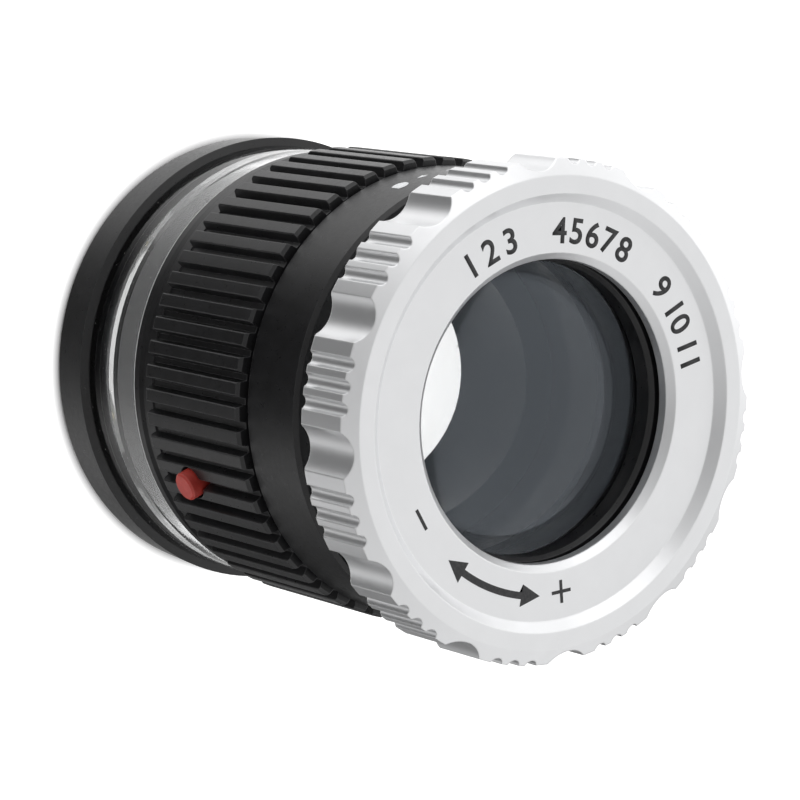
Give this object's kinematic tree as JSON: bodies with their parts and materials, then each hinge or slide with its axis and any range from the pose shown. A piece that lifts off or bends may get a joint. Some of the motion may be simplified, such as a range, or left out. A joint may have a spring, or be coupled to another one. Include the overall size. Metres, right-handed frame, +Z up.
{
  "type": "jewelers loupe",
  "caption": "Stand magnifier with a scalloped focus ring, ribbed grip, side push button, clear light window and a flat base ring.",
  "frame": {"origin": "centre of the base ring's ground face, on the optical axis", "axes": "+Z up along the optical axis towards the eye; -Y towards the push button; +X completes the right-handed frame"},
  "size_m": [0.0492, 0.0492, 0.0553],
  "materials": {
    "anodised_black": "satin black anodised",
    "silver_satin": "satin",
    "clear_acrylic": "clear, polished",
    "lens_glass": "polished, coated",
    "red_plastic": "smooth",
    "black_plastic": "moulded",
    "board_white": "solder mask",
    "lamp_white": "moulded",
    "cell_steel": "bright",
    "contact_metal": "spring temper",
    "fastener_steel": "plain",
    "nylon": "smooth"
  },
  "bodies": {
    "stand": {"base_ring": "anodised_black", "scale_glass": "lens_glass", "scale_ring": "anodised_black", "clear_window": "clear_acrylic", "grip": "anodised_black", "cell_carrier": "black_plastic", "lamp_board": "board_white", "board_screws": "fastener_steel", "switch": "black_plastic", "button_cell_1": "cell_steel", "minus_contact_1": "contact_metal", "plus_contact_1": "contact_metal", "button_cell_2": "cell_steel", "minus_contact_2": "contact_metal", "plus_contact_2": "contact_metal", "button_cell_3": "cell_steel", "minus_contact_3": "contact_metal", "plus_contact_3": "contact_metal", "lamp_1": "lamp_white", "lamp_2": "lamp_white", "lamp_3": "lamp_white", "lamp_4": "lamp_white", "lamp_5": "lamp_white", "lamp_6": "lamp_white"},
    "button": {"push_button": "red_plastic", "button_spring": "fastener_steel"},
    "cover": {"cover_ring": "anodised_black", "guide_pins": "fastener_steel"},
    "lens_group": {"lens_barrel": "anodised_black", "eye_lens": "lens_glass", "eye_ring": "anodised_black", "field_lens": "lens_glass", "field_ring": "anodised_black", "barrel_collar": "anodised_black"},
    "focus": {"focus_ring": "silver_satin", "damper_ring": "nylon"}
  },
  "joints": [
    {"name": "cover_turn", "type": "hinge", "parent": "stand", "child": "cover", "pos_m": [0, 0, 0.035], "axis": [0, 0, 1], "range_deg": [0, 30]},
    {"name": "focus_travel", "type": "slide", "parent": "cover", "child": "lens_group", "axis": [0, 0, 1], "range_m": [-0.0034, 0.0016]},
    {"name": "focus_turn", "type": "hinge", "parent": "lens_group", "child": "focus", "pos_m": [0, 0, 0.048], "axis": [0, 0, 1], "range_deg": [-244.8, 115.2]},
    {"name": "button_press", "type": "slide", "parent": "stand", "child": "button", "axis": [0, 1, 0], "range_m": [0, 0.0009], "stiffness_N_per_m": 700, "springref_m": -0.0005, "deforming": ["button_spring"]}
  ],
  "couplings": [
    {"joint": "focus_turn", "follows": "focus_travel", "rad_per_m": 1256.6}
  ]
}
